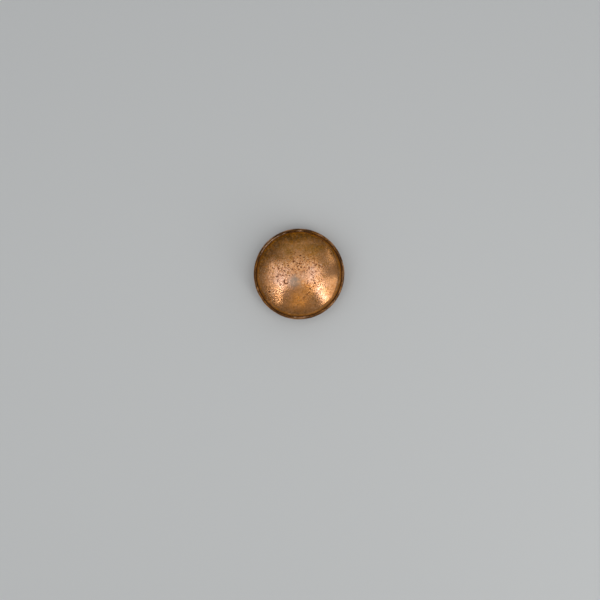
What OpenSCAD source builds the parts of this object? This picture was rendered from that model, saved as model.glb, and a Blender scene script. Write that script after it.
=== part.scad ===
// Round metal coin capsule: a domed lid pushed over the collar of a shallow dish.
// Both shells are thin spun sheet, each rolled round a wire at its edge, and both are lined.
// Units are millimetres. The origin is at the middle of the flat foot, with +Z up.

/* [Shells] */
// Radius over the rolled edges, the widest part of the capsule
capsule_r = 17; // [16.75:0.25:20]
// Thickness of the spun sheet
sheet_t = 0.4; // [0.3:0.05:0.5]
// Radius of a rolled edge, measured over the sheet
bead_r = 0.8; // [0.7:0.05:0.9]
// Gap between the two rolled edges when the lid is on
seam_gap = 0.1; // [0.05:0.05:0.3]

/* [Lid] */
// Radius of curvature of the broad crown
crown_r = 27; // [24:0.5:32]
// Radius of curvature of the shoulder below the crown
shoulder_r = 3.5; // [2.5:0.25:4.5]
// Height of the straight wall above the lid's rolled edge
lid_wall_h = 0.8; // [0.6:0.1:1.5]

/* [Dish] */
// Radius of the flat foot
foot_r = 8; // [6:0.5:10]
// Height of the curve from the foot up to the straight wall
dish_h = 3; // [2.5:0.25:4]

/* [Collar] */
// Radial clearance between the collar and the lid's wall
collar_gap = 0.05; // [0.03:0.01:0.1]
// Thickness of the collar
collar_t = 0.45; // [0.35:0.05:0.6]

/* [Lining] */
// Radius of the largest coin that the felt ring lets in
coin_r = 14; // [12:0.25:14]
// Height of the felt ring
ring_h = 3.4; // [2:0.2:3.6]
// Thickness of each pasteboard disc
board_t = 0.7; // [0.5:0.1:0.9]
// Rise of the wadding over its disc
wadding_h = 0.9; // [0.5:0.1:0.9]
// Thickness of the velvet
velvet_t = 0.35; // [0.25:0.05:0.4]

/* [Hidden] */
$fn = 96;
ARC_STEPS = 14;                 // straight pieces in each arc of an outline
WIRE_GAP = 0.05;                // room for the wire inside its roll
ROLL_END = 112;                 // angle at which the rolled sheet meets the wall again
TUCK_W = 3;                     // width of velvet glued behind each disc
FIT = 0.05;                     // gap at a glued or soldered face

roll_r = bead_r - sheet_t;      // inside radius of a rolled edge
edge_r = capsule_r - bead_r;    // radius of the circle that each wire follows
wall_out = edge_r - roll_r;     // outer face of the straight walls
wall_in = wall_out - sheet_t;   // inner face of the straight walls
base_edge_z = dish_h + 0.9;     // height of the wire in the dish's edge
lid_edge_z = base_edge_z + 2 * bead_r + seam_gap;
shoulder_z = lid_edge_z + bead_r + lid_wall_h;
crown_tilt = asin((wall_out - shoulder_r) / (crown_r - shoulder_r));
crown_z = shoulder_z - (crown_r - shoulder_r) * cos(crown_tilt);
collar_out = wall_in - collar_gap;
collar_in = collar_out - collar_t;
ring_in = coin_r + 0.1;         // the felt clears the coin's edge
ring_out = collar_in - 0.1;     // paste behind the felt
base_pad_r = ring_in - 0.2;     // the dish's pad drops inside the felt ring
lid_pad_r = base_pad_r - 1.4;   // the lid's pad stops where the crown turns down
base_pad_z = dish_rise(base_pad_r) + FIT;
lid_pad_z = crown_inside(lid_pad_r) - FIT;

// Points of an arc about [x, y], from angle a to angle b
function arc(x, y, r, a, b, n = ARC_STEPS) =
    [for (i = [0:n]) let (t = a + (b - a) * i / n) [x + r * cos(t), y + r * sin(t)]];

// Points of a quarter of an ellipse that leaves [x, y] level and ends upright
function bowl(x, y, w, h, n = 2 * ARC_STEPS) =
    [for (i = [0:n]) let (t = 90 * i / n) [x + w * sin(t), y + h * (1 - cos(t))]];

function reversed(points) = [for (i = [len(points) - 1:-1:0]) points[i]];

// Height of the dish's inner face at radius r
function dish_rise(r) =
    sheet_t + (dish_h - sheet_t) * (1 - sqrt(1 - pow((r - foot_r) / (wall_in - foot_r), 2)));

// Height of the crown's inner face at radius r
function crown_inside(r) = crown_z + sqrt(pow(crown_r - sheet_t, 2) - r * r);

// Section of a rolled edge about the wire at height z. It starts on the wall's inner face and ends
// on its outer face. way is 1 for a lid, which rolls under the wire, and -1 for a dish.
function rolled_edge(z, way) = concat(
    arc(edge_r, z, bead_r, 180, way * (360 + ROLL_END) + (way < 0 ? 360 : 0), 4 * ARC_STEPS),
    reversed(arc(edge_r, z, roll_r, 180, way * (360 + ROLL_END) + (way < 0 ? 360 : 0), 4 * ARC_STEPS)));

// Section of the lid's dome between its two faces, set in by d from the outer face
function dome(d) = concat(
    arc(0, crown_z, crown_r - d, 90, 90 - crown_tilt, 2 * ARC_STEPS),
    arc(wall_out - shoulder_r, shoulder_z, shoulder_r - d, 90 - crown_tilt, 0));

module lid_shell() {
    color("#b5753f")
        rotate_extrude()
            polygon(concat(dome(sheet_t), rolled_edge(lid_edge_z, 1), reversed(dome(0))));
}

module base_shell() {
    color("#a9693a")
        rotate_extrude()
            polygon(concat(
                [[0, sheet_t]], bowl(foot_r, sheet_t, wall_in - foot_r, dish_h - sheet_t),
                rolled_edge(base_edge_z, -1),
                reversed(bowl(foot_r, 0, wall_out - foot_r, dish_h)), [[0, 0]]));
}

module edge_wire(z) {
    color("#8d5a34")
        translate([0, 0, z])
            rotate_extrude()
                translate([edge_r, 0])
                    circle(r = roll_r - WIRE_GAP, $fn = 32);
}

// Straight brass band soldered inside the dish's wall. The lid slides over its bevelled top.
module base_collar() {
    bottom = dish_rise(collar_out) + FIT;
    top = shoulder_z - 0.1;
    bevel = 0.15;
    color("#c9a24d")
        rotate_extrude()
            polygon([[collar_in, bottom], [collar_out, bottom], [collar_out, top - 2 * bevel],
                [collar_out - bevel, top], [collar_in + bevel, top], [collar_in, top - bevel]]);
}

module coin_ring() {
    bottom = base_pad_z + velvet_t + board_t;
    top = bottom + ring_h;
    soft = (ring_out - ring_in) / 2;
    color("#161d4a")
        rotate_extrude()
            polygon(concat(
                [[ring_in, bottom], [ring_out, bottom]],
                arc((ring_in + ring_out) / 2, top - soft, soft, 0, 180)));
}

// Disc of pasteboard with its lower face at z
module board(r, z) {
    color("#b9a98a")
        translate([0, 0, z])
            cylinder(r = r, h = board_t);
}

// Low cushion of wadding on the plane z. way is 1 if it rises and -1 if it hangs.
module wadding(r, z, way) {
    color("#e8e2d2")
        rotate_extrude()
            polygon(concat([[0, z]],
                [for (i = [0:ARC_STEPS]) let (t = 90 * i / ARC_STEPS)
                    [r * pow(cos(t), 0.5), z + way * wadding_h * sin(t)]]));
}

// Velvet drawn over a cushion and its disc and glued behind the disc. r is the outside radius,
// z the height of the glued face, and way is 1 if the cushion rises from it and -1 if it hangs.
module velvet(r, z, way) {
    in_r = r - velvet_t;
    behind = z + way * velvet_t;
    front = behind + way * board_t;
    color("#1c2560")
        rotate_extrude()
            polygon(concat(
                [[r - TUCK_W, z], [r, z], [r, front]],
                [for (i = [1:ARC_STEPS]) let (t = 90 * i / ARC_STEPS)
                    [r * pow(cos(t), 0.5), front + way * (wadding_h + velvet_t) * sin(t)]],
                [for (i = [ARC_STEPS:-1:0]) let (t = 90 * i / ARC_STEPS)
                    [in_r * pow(cos(t), 0.5), front + way * wadding_h * sin(t)]],
                [[in_r, behind], [r - TUCK_W, behind]]));
}

base_shell();
edge_wire(base_edge_z);  // base_edge_wire
base_collar();
board(base_pad_r - velvet_t, base_pad_z + velvet_t);  // base_board
wadding(base_pad_r - velvet_t, base_pad_z + velvet_t + board_t, 1);  // base_wadding
velvet(base_pad_r, base_pad_z, 1);  // base_velvet
coin_ring();
lid_shell();
edge_wire(lid_edge_z);  // lid_edge_wire
board(lid_pad_r - velvet_t, lid_pad_z - velvet_t - board_t);  // lid_board
wadding(lid_pad_r - velvet_t, lid_pad_z - velvet_t - board_t, -1);  // lid_wadding
velvet(lid_pad_r, lid_pad_z, -1);  // lid_velvet
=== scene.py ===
"""The looks of a round copper coin capsule: a spun, domed lid on a shallow dish, lined with velvet.

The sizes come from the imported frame, in metres. The copper shells, the brass collar with its solder, the
felt ring and the padded velvet discs are built here; the wires and the pasteboard discs are the frame's own.
"""

import math
from types import SimpleNamespace

import bpy
import numpy as np
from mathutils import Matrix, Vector


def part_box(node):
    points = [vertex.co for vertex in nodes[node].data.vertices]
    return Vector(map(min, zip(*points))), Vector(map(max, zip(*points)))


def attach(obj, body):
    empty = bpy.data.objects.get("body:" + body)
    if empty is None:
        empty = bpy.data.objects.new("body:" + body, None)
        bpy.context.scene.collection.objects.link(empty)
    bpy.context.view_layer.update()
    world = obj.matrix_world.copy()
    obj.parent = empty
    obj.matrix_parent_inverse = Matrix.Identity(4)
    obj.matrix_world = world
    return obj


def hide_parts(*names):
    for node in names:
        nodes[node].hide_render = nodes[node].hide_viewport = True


MM = 0.001

# ------------------------ sizes, worked out from the frame

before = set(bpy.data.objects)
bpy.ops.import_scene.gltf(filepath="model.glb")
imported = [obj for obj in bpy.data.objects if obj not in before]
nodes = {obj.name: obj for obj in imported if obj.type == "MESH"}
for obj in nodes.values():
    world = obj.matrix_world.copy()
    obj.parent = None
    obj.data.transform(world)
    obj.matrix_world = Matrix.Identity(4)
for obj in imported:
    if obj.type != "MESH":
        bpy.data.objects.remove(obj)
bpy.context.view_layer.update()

lid_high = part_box("lid_shell")[1]
lid_wire_low, lid_wire_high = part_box("lid_edge_wire")
dish_wire_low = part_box("base_edge_wire")[0]
collar_low, collar_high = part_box("base_collar")
felt_low, felt_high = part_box("coin_ring")
dish_pad_low, dish_pad_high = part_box("base_velvet")
lid_pad_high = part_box("lid_velvet")[1]
dish_board_low, dish_board_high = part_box("base_board")
lid_board_low, lid_board_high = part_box("lid_board")

WIRE_GAP = 0.05 * MM  # room for a wire inside its roll
ROLL_END = 112  # degrees round the wire at which the rolled sheet meets its wall again
SHOULDER_R = 3.5 * MM
FOOT_R = 8 * MM
DISH_WALL_H = 0.9 * MM  # from the top of the dish's curve to its wire
COLLAR_DROP = 0.1 * MM  # from the lid's shoulder to the top of the collar
COLLAR_T = 0.45 * MM
FELT_T = 0.7 * MM
VELVET_T = 0.3 * MM
TUCK_W = 3 * MM  # velvet glued behind each pad

capsule_r = lid_high.x
wire_r = (lid_wire_high.z - lid_wire_low.z) / 2
edge_r = lid_wire_high.x - wire_r
bead_r = capsule_r - edge_r
roll_r = wire_r + WIRE_GAP
sheet_t = bead_r - roll_r
wall_out = edge_r - roll_r
wall_in = wall_out - sheet_t
lid_edge_z = lid_wire_low.z + wire_r
dish_edge_z = dish_wire_low.z + wire_r
dish_h = dish_edge_z - DISH_WALL_H
shoulder_x = wall_out - SHOULDER_R
shoulder_z = collar_high.z + COLLAR_DROP
top_z = lid_high.z

# The crown's radius follows from how far the dome rises over the middle of its shoulder's curve.
crown_rise = top_z - shoulder_z - SHOULDER_R
crown_r = SHOULDER_R + (shoulder_x**2 + crown_rise**2) / (2 * crown_rise)
crown_z = top_z - crown_r
crown_tilt = math.degrees(math.asin(shoulder_x / (crown_r - SHOULDER_R)))


# ------------------------ camera, light and floor

CAMERA_HEIGHT = 250 * MM
SENSOR_W = 36
CAPSULE_SHARE = 0.151  # the capsule's width as a share of the picture's
PICTURE_MIDDLE = (0.35 * MM, -9.7 * MM)  # the point of the capsule's plane in the picture's middle
CAMERA_PLACE = (0.4 * MM, -1.5 * MM)
FLOOR_W = 3


def aim(name, data, place, target, turn=0.0):
    """Camera or light at place that looks at target. Unturned, its own +Y stays nearest the frame's +Y."""
    thing = bpy.data.objects.new(name, data)
    thing.location = place
    way = Vector(target) - Vector(place)
    thing.rotation_euler = Vector((0, 0, -1)).rotation_difference(way).to_euler()
    thing.rotation_euler.rotate_axis("Z", math.radians(turn))
    bpy.context.scene.collection.objects.link(thing)
    return thing


def look_down():
    """Camera almost straight above the capsule, with +Y upwards in its picture."""
    place = Vector((*CAMERA_PLACE, CAMERA_HEIGHT))
    target = Vector((*PICTURE_MIDDLE, lid_edge_z))
    data = bpy.data.cameras.new("camera")
    data.sensor_width = SENSOR_W
    data.lens = SENSOR_W * CAPSULE_SHARE * (place - target).length / (2 * capsule_r)
    bpy.context.scene.camera = aim("camera", data, place, target)


def softbox(name, place, size, brightness, turn=0.0, colour=(1, 1, 1)):
    """Rectangular light that faces the capsule. turn, in degrees, slants its long side."""
    data = bpy.data.lights.new(name, "AREA")
    data.shape = "RECTANGLE"
    data.size, data.size_y = size
    data.energy = brightness * math.pi * size[0] * size[1]
    data.color = colour
    aim(name, data, place, (0, 0, shoulder_z), turn)


def lay_floor():
    """Plain pale floor, level with the capsule's foot."""
    mesh = bpy.data.meshes.new("floor")
    corners = [(x * FLOOR_W / 2, y * FLOOR_W / 2, 0) for x, y in ((-1, -1), (1, -1), (1, 1), (-1, 1))]
    mesh.from_pydata(corners, [], [(0, 1, 2, 3)])
    floor = bpy.data.objects.new("floor", mesh)
    bpy.context.scene.collection.objects.link(floor)
    paper = bpy.data.materials.new("floor_paper")
    paper.use_nodes = True
    shader = paper.node_tree.nodes["Principled BSDF"]
    shader.inputs["Base Color"].default_value = (0.6, 0.61, 0.6, 1)
    shader.inputs["Roughness"].default_value = 0.85
    mesh.materials.append(paper)


def set_stage():
    """Camera, floor, even room light, two long softboxes in front, and broad and low ones round them."""
    look_down()
    lay_floor()
    world = bpy.data.worlds.new("room")
    world.use_nodes = True
    world.node_tree.nodes["Background"].inputs["Color"].default_value = (0.93, 0.95, 1, 1)
    world.node_tree.nodes["Background"].inputs["Strength"].default_value = 0.38
    bpy.context.scene.world = world
    bpy.context.scene.view_settings.view_transform = "Standard"
    softbox("strip_left", (-0.18, -0.17, 0.25), (0.009, 0.22), 8.5, turn=-20)
    softbox("strip_right", (0.22, -0.17, 0.25), (0.020, 0.30), 5.6, turn=30)
    softbox("panel_left", (-0.27, -0.03, 0.36), (0.28, 0.38), 0.72)
    softbox("panel_right", (0.22, -0.06, 0.40), (0.20, 0.36), 0.7)
    softbox("panel_low_right", (0.42, -0.20, 0.26), (0.28, 0.36), 0.75)
    softbox("panel_top", (0.03, 0.04, 0.60), (0.56, 0.50), 0.53)
    softbox("panel_near", (0.02, -0.16, 0.42), (0.24, 0.14), 0.12)
    softbox("panel_far_right", (0.20, 0.20, 0.40), (0.16, 0.16), 0.16)
    softbox("panel_front", (0.02, -0.34, 0.38), (0.20, 0.20), 0.32, colour=(1, 0.94, 0.82))
    softbox("panel_back", (0.02, 0.38, 0.42), (0.60, 0.30), 0.21)
    softbox("low_front", (0.36, -0.34, 0.14), (0.20, 0.07), 2.0)
    softbox("low_back", (0.42, 0.26, 0.24), (0.06, 0.26), 1.3)


# ------------------------ outlines

FINE = 0.13 * MM  # spacing of points where the metal shows its pits
PLAIN = 0.25 * MM
HIDDEN = 0.6 * MM


def arc(x, z, r, a, b, step):
    """Points of an arc about (x, z) from angle a to angle b, in degrees, about step apart."""
    count = max(2, math.ceil(abs(math.radians(b - a)) * r / step))
    t = np.radians(np.linspace(a, b, count + 1))
    return np.column_stack([x + r * np.cos(t), z + r * np.sin(t), np.full(count + 1, step)])


def line(a, b, step):
    """Points on the straight line from a to b, about step apart."""
    count = max(1, math.ceil(math.dist(a, b) / step))
    t = np.linspace(0, 1, count + 1)[:, None]
    return np.column_stack([np.array(a) * (1 - t) + np.array(b) * t, np.full(count + 1, step)])


def bowl(x, z, w, h, step):
    """Points of a quarter of an ellipse that leaves (x, z) level and ends upright."""
    count = math.ceil((w + h / 2) / step)
    t = np.linspace(0, math.pi / 2, count + 1)
    return np.column_stack([x + w * np.sin(t), z + h * (1 - np.cos(t)), np.full(count + 1, step)])


def joined(*parts):
    """One outline from several, without the points that repeat where they meet."""
    points = np.concatenate(parts)
    new = np.hypot(*np.diff(points[:, :2], axis=0).T) > 1e-7
    return points[np.concatenate([[True], new])]


def dome(inset, step):
    """The lid's dome from its middle down to its wall, set in from its outer face."""
    return joined(
        arc(0, crown_z, crown_r - inset, 90, 90 - crown_tilt, step),
        arc(shoulder_x, shoulder_z, SHOULDER_R - inset, 90 - crown_tilt, 0, step),
    )


def roll(z, way, step):
    """The rolled edge's hollow face and its outer face, both from the wall. A lid's way is 1."""
    stop = 360 + ROLL_END if way > 0 else -ROLL_END
    hollow = arc(edge_r, z, roll_r, 180, stop, HIDDEN)
    outer = arc(edge_r, z, bead_r, 180, stop, step)
    return hollow, outer


def lid_outline():
    """Section of the lid from its top, round the rolled edge, and back to the middle of its inside."""
    hollow, outer = roll(lid_edge_z, 1, FINE)
    return joined(
        dome(0, FINE),
        line((wall_out, shoulder_z), (wall_out, lid_edge_z), FINE),
        hollow,
        outer[::-1],
        line((wall_in, lid_edge_z), (wall_in, shoulder_z), PLAIN),
        dome(sheet_t, HIDDEN)[::-1],
    )


def dish_outline():
    """Section of the dish from the middle of its inside, round the rolled edge, to the middle of its foot."""
    hollow, outer = roll(dish_edge_z, -1, FINE)
    return joined(
        line((0, sheet_t), (FOOT_R, sheet_t), HIDDEN),
        bowl(FOOT_R, sheet_t, wall_in - FOOT_R, dish_h - sheet_t, HIDDEN),
        line((wall_in, dish_h), (wall_in, dish_edge_z), PLAIN),
        outer,
        hollow[::-1],
        line((wall_out, dish_edge_z), (wall_out, dish_h), PLAIN),
        bowl(FOOT_R, 0, wall_out - FOOT_R, dish_h, PLAIN)[::-1],
        line((FOOT_R, 0), (0, 0), PLAIN),
    )


# ------------------------ meshes from outlines

FEWEST, MOST = 16, 512  # points round the smallest and the widest ring


def ring_sizes(outline):
    """How many points each ring has: the spacing that its outline asks for, doubling as it grows wide."""
    sizes = []
    for r, _, step in outline:
        wanted = 2 * math.pi * r / (1.2 * step)
        doublings = math.ceil(math.log2(max(1, wanted / FEWEST)))
        sizes.append(min(MOST, FEWEST * 2**doublings))
    for order in (range(1, len(sizes)), range(len(sizes) - 2, -1, -1)):
        for i in order:
            before = i - 1 if order.step > 0 else i + 1
            sizes[i] = min(sizes[i], 2 * sizes[before])
    return sizes


def strip_faces(a, n, b, m):
    """Faces between a ring of n points from index a and the next ring of m points from index b."""
    if n == m:
        return [(a + k, b + k, b + (k + 1) % n, a + (k + 1) % n) for k in range(n)]
    faces = []
    if m == 2 * n:
        for k in range(n):
            here, after, mid = a + k, a + (k + 1) % n, b + 2 * k + 1
            faces += [(here, b + 2 * k, mid), (here, mid, after), (after, mid, b + (2 * k + 2) % m)]
    else:
        for k in range(m):
            here, after, mid = b + k, b + (k + 1) % m, a + 2 * k + 1
            faces += [(a + 2 * k, here, mid), (mid, here, after), (mid, after, a + (2 * k + 2) % n)]
    return faces


def make_piece(name, points, faces):
    """Smooth-shaded object in the scene, at the frame's origin."""
    mesh = bpy.data.meshes.new(name)
    mesh.from_pydata(points, [], faces)
    mesh.shade_smooth()
    mesh.update()
    piece = bpy.data.objects.new(name, mesh)
    bpy.context.scene.collection.objects.link(piece)
    return piece


def stack_rings(outline, sizes):
    """Rings of points round Z and the faces between them, from a first point on the axis."""
    points = [(0, 0, outline[0, 1])]
    faces = [(0, 1 + k, 1 + (k + 1) % sizes[0]) for k in range(sizes[0])]
    for (r, z), n, after in zip(outline[1:, :2], sizes, [*sizes[1:], 0], strict=True):
        if after:
            faces += strip_faces(len(points), n, len(points) + n, after)
        t = np.arange(n) * 2 * math.pi / n
        points.extend(np.column_stack([r * np.cos(t), r * np.sin(t), np.full(n, z)]).tolist())
    return points, faces


def spin(name, outline):
    """Closed mesh of an outline turned round Z. The outline starts and ends on the axis."""
    sizes = ring_sizes(outline[1:-1])
    points, faces = stack_rings(outline[:-1], sizes)
    n, end = sizes[-1], len(points)
    points.append((0, 0, outline[-1, 1]))
    faces += [(end - n + k, end, end - n + (k + 1) % n) for k in range(n)]
    return make_piece(name, points, faces)


def carry_round(name, section, count, gap=0.0, joint_at=0.0):
    """Closed section carried round Z. With a gap, in radians, its two ends stay apart and are capped."""
    size = len(section)
    steps = count if gap == 0 else count + 1
    t = joint_at + gap / 2 + np.arange(steps) * (2 * math.pi - gap) / count
    points = [(r * math.cos(a), r * math.sin(a), z) for a in t for r, z in section]
    faces = []
    for k in range(count):
        here, after = k * size, ((k + 1) % steps) * size
        for j in range(size):
            jj = (j + 1) % size
            faces.append((here + j, after + j, after + jj, here + jj))
    if gap:
        faces.append(tuple(range(size)))
        faces.append(tuple(range(len(points) - 1, len(points) - 1 - size, -1)))
    return make_piece(name, points, faces)


def vectors(data, what):
    """One vector of each of the data's items, as an array."""
    found = np.empty(len(data) * 3, np.float32)
    data.foreach_get(what, found)
    return found.reshape(-1, 3).astype(float)


def places(piece):
    """Where the piece's points are."""
    return vectors(piece.data.vertices, "co")


def facing(piece):
    """The direction in which the surface faces at each point."""
    return vectors(piece.data.vertex_normals, "vector")


def move(piece, points):
    """Moves the piece's points to new places."""
    piece.data.vertices.foreach_set("co", points.astype(np.float32).ravel())
    piece.data.update()


def write_masks(piece, **masks):
    """Stores masks from 0 to 1 on the piece's points, for its material."""
    for name, values in masks.items():
        mask = piece.data.attributes.new(name, "FLOAT", "POINT")
        mask.data.foreach_set("value", np.clip(values, 0, 1).astype(np.float32))


# ------------------------ where the copper is worn, and where light and shade are painted on it

# Where the crown's metal has pitted: middle of a patch, how far it spreads each way, in mm, and its pits.
PIT_PATCHES = (
    ((1.5, 3.0), (4.4, 2.4), 44),
    ((-7.5, 1.0), (3.0, 3.0), 24),
    ((5.5, -2.5), (2.4, 3.0), 22),
    ((-10.8, -8.6), (1.6, 2.4), 24),
    ((0.0, 0.0), (8.0, 8.0), 30),
)
PIT_SIZES = (0.16 * MM, 0.42 * MM)

# Shallow dents in the dome: middle, width and depth in mm.
LID_DENTS = (
    ((8.6, -6.0), 2.6, 0.05),
    ((-7.4, -3.5), 2.2, -0.035),
    ((3.0, 9.5), 3.0, 0.05),
    ((-9.0, 7.5), 2.4, 0.04),
    ((11.5, 3.5), 2.0, 0.045),
    ((-2.0, -11.0), 2.4, 0.05),
)

# Patches on the crown, each with its middle and its spread in mm: bare, pinker metal that also carries a
# painted highlight tint, a painted warm orange reflection on the lower crown, brushed in rings, and handled,
# so that less tarnish gathers.
# Bare, pinker metal that also carries a painted highlight tint where the highlights fall.
PINK_HIGHLIGHT_PATCHES = (
    ((-6.2, -1.5), (3.8, 5.0)),
    ((8.2, -6.0), (2.0, 4.0)),
    ((4.2, 0.3), (3.2, 3.2)),
)
# Painted warm orange reflection on the lower crown.
AMBER_REFLECTION_PATCHES = (
    ((0.0, -9.5), (5.5, 4.0)),
    ((2.5, -5.5), (3.0, 2.5)),
)
BRUSHED_PATCHES = (
    ((6.5, -10.0), (5.0, 3.6)),
    ((3.0, 10.5), (7.0, 2.2)),
)
HANDLED_PATCHES = (
    ((-14.0, -2.0), (2.5, 5.0)),
    ((12.5, -8.5), (4.0, 5.0)),
    ((-9.5, -10.5), (3.0, 3.0)),
)

# Stretches of the lid's roll with painted highlight lines, in degrees from +Y: by the wall, and on its outer
# side.
HIGHLIGHT_INNER = ((-62, -14), (-2, 8), (175, 188))
HIGHLIGHT_OUTER = ((28, 112), (-54, -40), (122, 150))

RING_MARK = (-4.6, -2.7)  # middle of a small struck circle, in mm
RING_MARK_R = 0.8 * MM
RING_MARK_DEPTH = 0.09 * MM
STAIN = (-1.7, -2.6)  # middle of a grey spot, in mm
STAIN_R = 2.6 * MM


def smooth(x, low, high):
    """0 below low and 1 above high, with a smooth step between them. low may be the larger one."""
    t = np.clip((x - low) / (high - low), 0, 1)
    return t * t * (3 - 2 * t)


def hump(x, width):
    """1 at 0, fading smoothly over the width each way."""
    return np.exp(-((x / width) ** 2))


def uneven(points, size, seed, waves=28):
    """Smooth random field over the points, mostly from -1 to 1, with lumps about size across."""
    draw = np.random.default_rng(seed)
    total = np.zeros(len(points))
    for _ in range(waves):
        way = draw.normal(size=3)
        way *= math.pi / size * draw.uniform(0.5, 1.5) / np.linalg.norm(way)
        total += np.cos(points @ way + draw.uniform(0, 2 * math.pi))
    return total / math.sqrt(waves)


def off_axis(points):
    """Each point's distance from the axis."""
    return np.hypot(points[:, 0], points[:, 1])


def bearing(points):
    """Each point's direction from the axis, in radians."""
    return np.arctan2(points[:, 1], points[:, 0])


def apart(a, b):
    """The smaller angle between two directions, in radians."""
    return np.abs((a - b + math.pi) % (2 * math.pi) - math.pi)


def from_mark(points, mark):
    """Each point's distance, as seen from above, from a place on the crown in mm."""
    return np.hypot(points[:, 0] - mark[0] * MM, points[:, 1] - mark[1] * MM)


def scatter_pits(seed):
    """Middle and radius of each pit, drawn patch by patch. The grey spot has none under it."""
    draw = np.random.default_rng(seed)
    pits = []
    for middle, spread, count in PIT_PATCHES:
        for _ in range(count):
            x, y = draw.normal(middle, spread) * MM
            radius = PIT_SIZES[0] + (PIT_SIZES[1] - PIT_SIZES[0]) * draw.random() ** 3.5
            if math.hypot(x - STAIN[0] * MM, y - STAIN[1] * MM) > 0.7 * STAIN_R:
                pits.append((x, y, radius))
    return pits


def pit_field(points, pits):
    """How deep the pits are at each point, in metres, and a mask that is 1 in a pit."""
    wobble = np.column_stack([uneven(points, 0.5 * MM, 31), uneven(points, 0.5 * MM, 32)])
    ragged = points[:, :2] + 0.11 * MM * wobble
    depth, mask = np.zeros(len(points)), np.zeros(len(points))
    for x, y, radius in pits:
        away = np.hypot(ragged[:, 0] - x, ragged[:, 1] - y) / radius
        near = away < 1.7
        hollow = np.clip(1 - away[near] ** 2, 0, 1)
        lip = 0.12 * hump(away[near] - 1.2, 0.22)
        depth[near] += 0.33 * radius * (hollow - lip)
        mask[near] = np.maximum(mask[near], smooth(away[near], 1.15, 0.55))
    return depth, mask


def fade_out(flat, spots, reach):
    """1 in the middle of each spot, fading to 0 well away from all of them. flat is in mm."""
    total = np.zeros(len(flat))
    for middle, spread, *_ in spots:
        away = (((flat - middle) / spread) ** 2).sum(axis=1)
        total = np.maximum(total, np.exp(-away / reach))
    return total


def patches(points, spots):
    """The spots as a mask with ragged edges."""
    wobble = np.column_stack([uneven(points, 2 * MM, 33), uneven(points, 2 * MM, 34)])
    return fade_out(points[:, :2] / MM + 0.9 * wobble, spots, 1)


def stretches(points, spans):
    """1 within each span of degrees from +Y, clockwise, with ragged ends."""
    clock = np.degrees(np.arctan2(points[:, 0], points[:, 1])) + 6 * uneven(points, 2 * MM, 44)
    total = np.zeros(len(points))
    for start, end in spans:
        off = np.abs((clock - (start + end) / 2 + 180) % 360 - 180)
        total = np.maximum(total, smooth(off, (end - start) / 2 + 5, (end - start) / 2 - 3))
    return total


def dent_lid(points):
    """The lid's points with its dents and its hand-spun unevenness. The wall and the roll stay true."""
    out = points - np.array([0, 0, crown_z])
    out /= np.linalg.norm(out, axis=1)[:, None]
    loose = smooth(points[:, 2], shoulder_z, shoulder_z + 2.5 * MM)
    push = 0.016 * MM * uneven(points, 4.5 * MM, 5) + 0.03 * MM * uneven(points, 10 * MM, 6)
    for middle, width, depth in LID_DENTS:
        push -= depth * MM * hump(from_mark(points, middle), width * MM)
    return points + out * (np.minimum(push, 0.02 * MM) * loose)[:, None]


def on_bead(points, z):
    """1 on a rolled edge's outer face, and 0 elsewhere."""
    r = off_axis(points)
    from_wire = np.hypot(r - edge_r, points[:, 2] - z)
    return (np.abs(from_wire - bead_r) < 0.02 * MM) & (r > wall_out)


def knock_bead(points, z, seed, count=22):
    """Small flats and nicks knocked into a rolled edge, and how hard each point was rubbed."""
    draw = np.random.default_rng(seed)
    bead = on_bead(points, z)
    middle = np.column_stack([points[:, 0], points[:, 1], np.zeros(len(points))])
    middle *= (edge_r / np.maximum(off_axis(points), 1e-9))[:, None]
    middle[:, 2] = z
    outward = points - middle
    outward /= np.maximum(np.linalg.norm(outward, axis=1), 1e-9)[:, None]
    push = 0.012 * MM * uneven(points, 1.6 * MM, seed + 1)
    rubbed = np.zeros(len(points))
    for _ in range(count):
        at, width = draw.uniform(-math.pi, math.pi), draw.uniform(0.4, 1.6) * MM
        tilt, depth = math.radians(draw.uniform(-40, 70)), draw.uniform(0.015, 0.06) * MM
        side = outward[:, 2] * math.sin(tilt) + off_axis(outward) * math.cos(tilt)
        hit = hump(apart(bearing(points), at) * edge_r, width) * smooth(side, 0.75, 1.0)
        push -= depth * hit
        rubbed = np.maximum(rubbed, hit)
    return points + outward * (np.minimum(push, 0) * bead)[:, None], rubbed * bead


# ------------------------ the copper shells


def lid_skin(true):
    """True on the dome's outer face, from its middle down to the foot of its shoulder."""
    r = off_axis(true)
    from_crown = np.linalg.norm(true - np.array([0, 0, crown_z]), axis=1)
    skin = (true[:, 2] > shoulder_z) & ((from_crown > crown_r - sheet_t / 2) | (r > shoulder_x))
    inner_bend = np.hypot(r - shoulder_x, true[:, 2] - shoulder_z) < SHOULDER_R - sheet_t / 2
    return skin & ~(inner_bend & (r > shoulder_x))


def struck_ring(true):
    """How hard the small circle is struck into each point, hardest on its lower left."""
    rim = hump(from_mark(true, RING_MARK) - RING_MARK_R, 0.24 * MM)
    low_side = sum(RING_MARK) * MM - true[:, 0] - true[:, 1]
    return rim * (0.35 + 0.65 * smooth(low_side, -0.5 * MM, 0.6 * MM))


def mark_crown(lid, true, skin, pitted):
    """The masks of the wear on the dome's outer face, and of the painted highlight tint and painted warm
    reflection on it.
    """
    ragged = 0.35 * MM * uneven(true, 0.8 * MM, 41) + 0.12 * MM * uneven(true, 0.3 * MM, 42)
    spot = from_mark(true, STAIN) + ragged
    write_masks(
        lid,
        stain=smooth(spot, STAIN_R * 1.25, STAIN_R * 0.4) * skin,
        pit=pitted * skin,
        pink=patches(true, PINK_HIGHLIGHT_PATCHES) * skin,
        amber=patches(true, AMBER_REFLECTION_PATCHES) * skin,
        brushed=patches(true, BRUSHED_PATCHES) * skin,
        handled=patches(true, HANDLED_PATCHES) * skin,
        corroded=fade_out(true[:, :2] / MM, PIT_PATCHES[:-1], 3) * skin,
    )


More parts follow.
